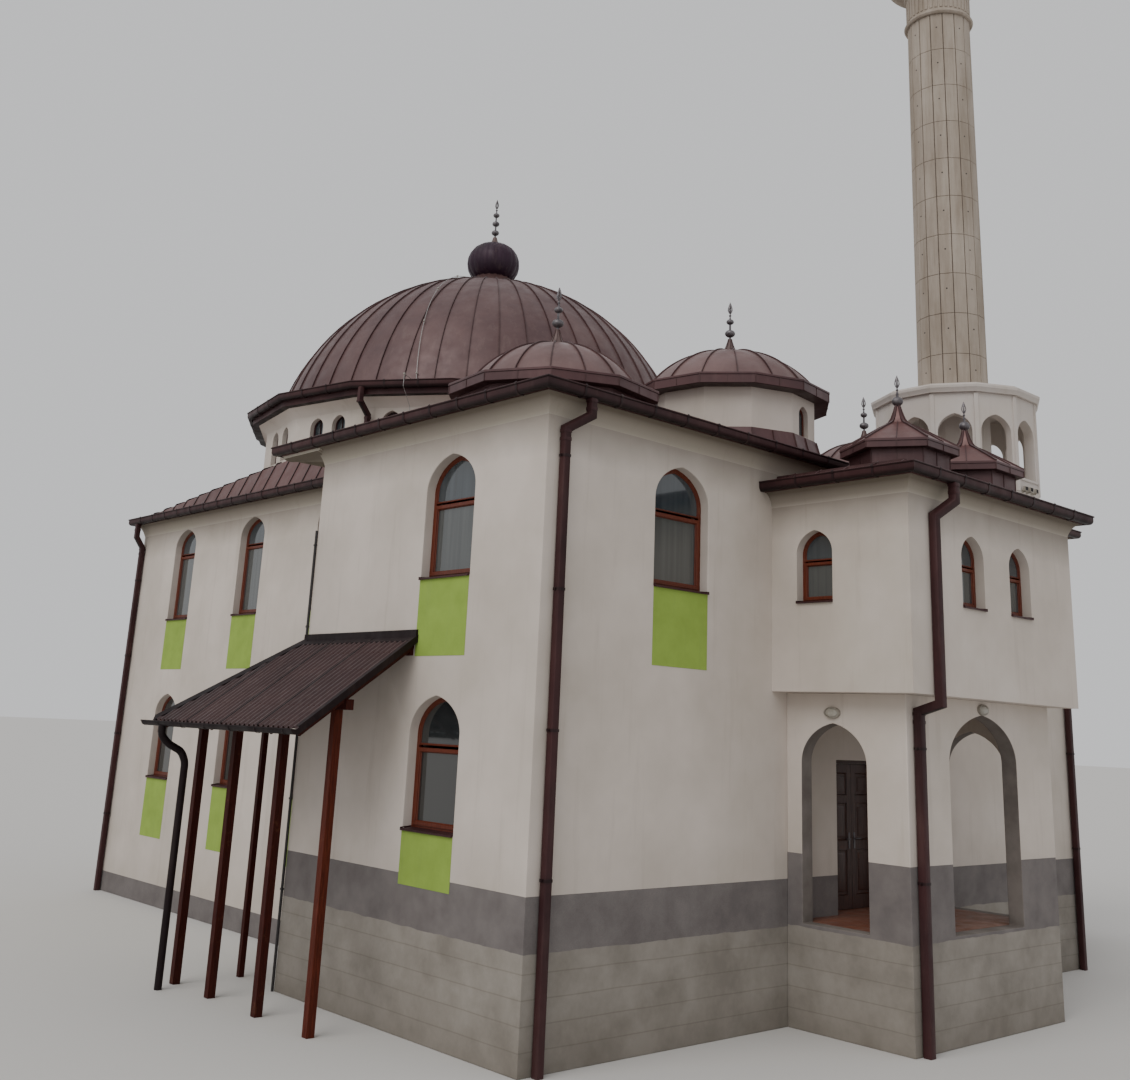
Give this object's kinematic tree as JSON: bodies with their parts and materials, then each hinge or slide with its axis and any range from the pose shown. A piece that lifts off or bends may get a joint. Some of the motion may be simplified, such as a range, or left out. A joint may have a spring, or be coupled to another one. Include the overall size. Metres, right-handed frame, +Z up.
{
  "type": "mosque building",
  "caption": "Domed prayer hall behind a transverse front block with small roof domes, a jettied porch with turrets, a lean-to canopy and a free-standing minaret.",
  "frame": {"origin": "centre of the underside of the threshold under the main door: on the porch axis, midway through the front wall, at the lowest ground level", "axes": "+X to the right as seen from the front, +Y from the front towards the prayer hall, +Z up"},
  "size_m": [20.5011, 19.82, 34.3803],
  "materials": {
    "plaster": "painted render with a granular texture, weathered",
    "roof_metal": "satin sheet metal, weathered",
    "gutter_metal": "satin dark brown coated sheet",
    "timber": "varnished red-brown",
    "concrete": "trowelled grey",
    "stone": "sawn ashlar, weathered",
    "glazing": "dark reflecting panes"
  },
  "bodies": {
    "building": {"wing_side_wall_left": "plaster", "wing_side_wall_right": "plaster", "wing_front_wall_left": "plaster", "wing_front_wall_right": "plaster", "wing_wall_over_door": "plaster", "hall_side_wall_left": "plaster", "hall_side_wall_right": "plaster", "hall_back_wall": "plaster", "ground_floor": "concrete", "upper_floor": "plaster", "porch_arcade": "plaster", "porch_upper_walls": "plaster", "main_cornice": "plaster", "porch_cornice": "plaster", "main_gutter": "gutter_metal", "porch_gutter": "gutter_metal", "wing_roof": "roof_metal", "hall_roof": "roof_metal", "porch_roof": "roof_metal", "drum_wall_front": "plaster", "drum_wall_back": "plaster", "drum_glazing": "glazing", "dome_gutter": "gutter_metal", "main_dome": "roof_metal", "main_finial": "roof_metal", "left_dome_base": "gutter_metal", "left_dome": "roof_metal", "right_dome_base": "gutter_metal", "right_dome": "roof_metal", "middle_drum_wall": "plaster", "middle_drum_glazing": "glazing", "middle_dome_fascia": "gutter_metal", "middle_dome": "roof_metal", "porch_turret_left": "gutter_metal", "porch_turret_right": "gutter_metal", "canopy_roof": "gutter_metal", "canopy_frame": "timber", "canopy_gutter": "gutter_metal", "wing_left_lower_window": "timber", "wing_left_upper_window": "timber", "wing_right_lower_window": "timber", "wing_right_upper_window": "timber", "wing_front_window_left": "timber", "wing_front_window_right": "timber", "hall_windows_left": "timber", "hall_windows_right": "timber", "hall_windows_back": "timber", "porch_windows": "timber", "door_lining": "timber", "minaret_tower": "plaster", "minaret_core": "plaster", "minaret_slab": "plaster", "minaret_shaft": "stone", "minaret_balcony": "stone", "minaret_upper_shaft": "stone", "minaret_spire": "roof_metal"},
    "left_leaf": {"door_leaf_left": "timber"},
    "right_leaf": {"door_leaf_right": "timber"}
  },
  "joints": [
    {"name": "door_left_hinge", "type": "hinge", "parent": "building", "child": "left_leaf", "pos_m": [-0.7364, 0.189, 1.4], "axis": [0, 0, 1], "range_deg": [0, 90]},
    {"name": "door_right_hinge", "type": "hinge", "parent": "building", "child": "right_leaf", "pos_m": [0.7364, 0.189, 1.4], "axis": [0, 0, -1], "range_deg": [0, 90]}
  ]
}
